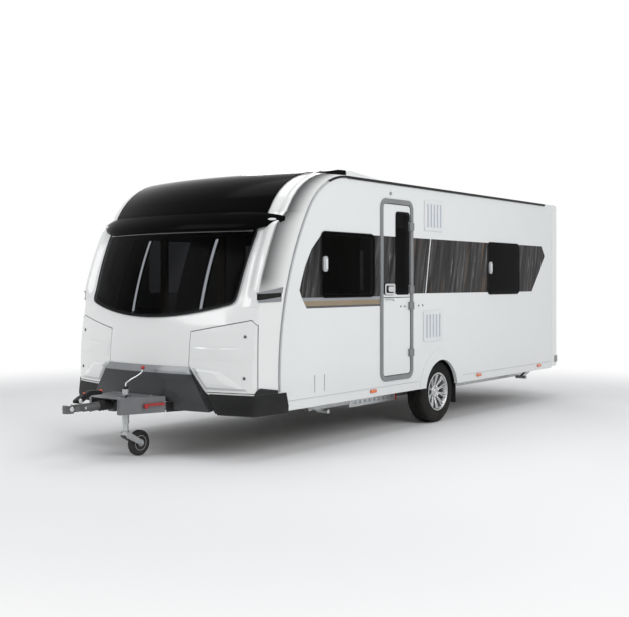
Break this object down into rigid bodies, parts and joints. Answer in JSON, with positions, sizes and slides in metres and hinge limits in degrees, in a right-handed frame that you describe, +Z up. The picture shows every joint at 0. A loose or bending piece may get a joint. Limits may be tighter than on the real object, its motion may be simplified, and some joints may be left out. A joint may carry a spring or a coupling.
{
  "type": "travel caravan",
  "caption": "Single-axle travel caravan with a bowed front, tinted windows, stable door, front lockers, drawbar with coupling, jockey wheel and corner steadies.",
  "frame": {"origin": "on the ground, under the middle of the overall length and width", "axes": "+X towards the coupling, +Y towards the door side (nearside), +Z up"},
  "size_m": [7.334, 2.337, 2.608],
  "materials": {
    "galvanised": "zinc, dull",
    "cast_steel": "painted casting",
    "rubber": "matt",
    "black_plastic": "textured",
    "grey_plastic": "satin",
    "red_plastic": "satin",
    "wood": "laminate",
    "white_skin": "gloss paint on a timber-framed sandwich panel",
    "white_grp": "gloss gel coat",
    "gloss_black": "gloss",
    "tinted_glass": "tinted acrylic",
    "grey_grp": "metallic paint",
    "lamp_red": "clear lens",
    "lamp_orange": "clear lens",
    "white_plastic": "satin",
    "fabric": "woven upholstery",
    "tyre": "matt",
    "alloy": "painted silver"
  },
  "bodies": {
    "caravan": {"chassis_rail_left": "galvanised", "chassis_rail_right": "galvanised", "cross_members": "galvanised", "axle_tube": "galvanised", "trailing_arms": "galvanised", "overrun_housing": "cast_steel", "overrun_gaiter": "rubber", "coupling_head": "cast_steel", "coupling_handle": "black_plastic", "hitch_cover": "grey_plastic", "handbrake_lever": "red_plastic", "jockey_sleeve": "galvanised", "jockey_crank": "galvanised", "drawbar_boards": "black_plastic", "steady_brackets": "galvanised", "floor": "wood", "side_wall_left": "white_skin", "side_wall_right": "white_skin", "roof": "white_skin", "front_panel": "white_grp", "front_top_panel": "gloss_black", "front_window": "tinted_glass", "front_visor": "gloss_black", "front_nose": "grey_grp", "front_bumpers": "black_plastic", "rear_panel": "white_skin", "rear_lamps": "lamp_red", "rear_bumper": "grey_plastic", "side_windows": "tinted_glass", "door_frame": "grey_plastic", "awning_rails": "black_plastic", "rooflights": "gloss_black", "fridge_vents": "white_plastic", "roof_fairings": "white_grp", "side_markers": "lamp_orange", "grab_handles": "grey_plastic", "wheel_boxes": "black_plastic", "settees": "fabric", "cabinets": "wood", "gas_locker": "wood", "rear_bed": "fabric"},
    "wheel_left": {"tyre_left": "tyre", "rim_left": "alloy"},
    "wheel_right": {"tyre_right": "tyre", "rim_right": "alloy"},
    "jockey_post": {"jockey_tube": "galvanised"},
    "jockey_caster": {"jockey_fork": "galvanised"},
    "jockey_roller": {"jockey_wheel": "rubber"},
    "door_top": {"door_upper": "white_skin", "door_window": "tinted_glass", "door_handle": "black_plastic"},
    "door_bottom": {"door_lower": "white_skin"},
    "locker_left": {"locker_door_left": "white_grp"},
    "locker_right": {"locker_door_right": "white_grp"},
    "leg_front_left": {"steady_front_left": "galvanised"},
    "leg_front_right": {"steady_front_right": "galvanised"},
    "leg_rear_left": {"steady_rear_left": "galvanised"},
    "leg_rear_right": {"steady_rear_right": "galvanised"}
  },
  "joints": [
    {"name": "wheel_left_spin", "type": "hinge", "parent": "caravan", "child": "wheel_left", "pos_m": [-0.477, 0.995, 0.33], "axis": [0, 1, 0], "continuous": true},
    {"name": "wheel_right_spin", "type": "hinge", "parent": "caravan", "child": "wheel_right", "pos_m": [-0.477, -0.995, 0.33], "axis": [0, 1, 0], "continuous": true},
    {"name": "jockey_wind", "type": "slide", "parent": "caravan", "child": "jockey_post", "axis": [0, 0, 1], "range_m": [0, 0.06]},
    {"name": "jockey_swivel", "type": "hinge", "parent": "jockey_post", "child": "jockey_caster", "pos_m": [3.063, 0.076, 0.2], "axis": [0, 0, 1], "continuous": true},
    {"name": "jockey_wheel_spin", "type": "hinge", "parent": "jockey_caster", "child": "jockey_roller", "pos_m": [2.913, 0.076, 0.11], "axis": [0, 1, 0], "continuous": true},
    {"name": "door_upper_swing", "type": "hinge", "parent": "caravan", "child": "door_top", "pos_m": [0.135, 1.162, 1.4], "axis": [0, 0, 1], "range_deg": [0, 165]},
    {"name": "door_lower_swing", "type": "hinge", "parent": "caravan", "child": "door_bottom", "pos_m": [0.135, 1.162, 0.9], "axis": [0, 0, 1], "range_deg": [0, 165]},
    {"name": "locker_left_swing", "type": "hinge", "parent": "caravan", "child": "locker_left", "pos_m": [2.73319, 0.49, 0.85], "axis": [0, 0, -1], "range_deg": [0, 100]},
    {"name": "locker_right_swing", "type": "hinge", "parent": "caravan", "child": "locker_right", "pos_m": [2.73319, -0.49, 0.85], "axis": [0, 0, 1], "range_deg": [0, 100]},
    {"name": "steady_front_left_swing", "type": "hinge", "parent": "caravan", "child": "leg_front_left", "pos_m": [1.793, 0.94, 0.428], "axis": [0, -1, 0], "range_deg": [0, 58]},
    {"name": "steady_front_right_swing", "type": "hinge", "parent": "caravan", "child": "leg_front_right", "pos_m": [1.793, -0.94, 0.428], "axis": [0, -1, 0], "range_deg": [0, 58]},
    {"name": "steady_rear_left_swing", "type": "hinge", "parent": "caravan", "child": "leg_rear_left", "pos_m": [-3.227, 0.94, 0.428], "axis": [0, 1, 0], "range_deg": [0, 58]},
    {"name": "steady_rear_right_swing", "type": "hinge", "parent": "caravan", "child": "leg_rear_right", "pos_m": [-3.227, -0.94, 0.428], "axis": [0, 1, 0], "range_deg": [0, 58]}
  ]
}
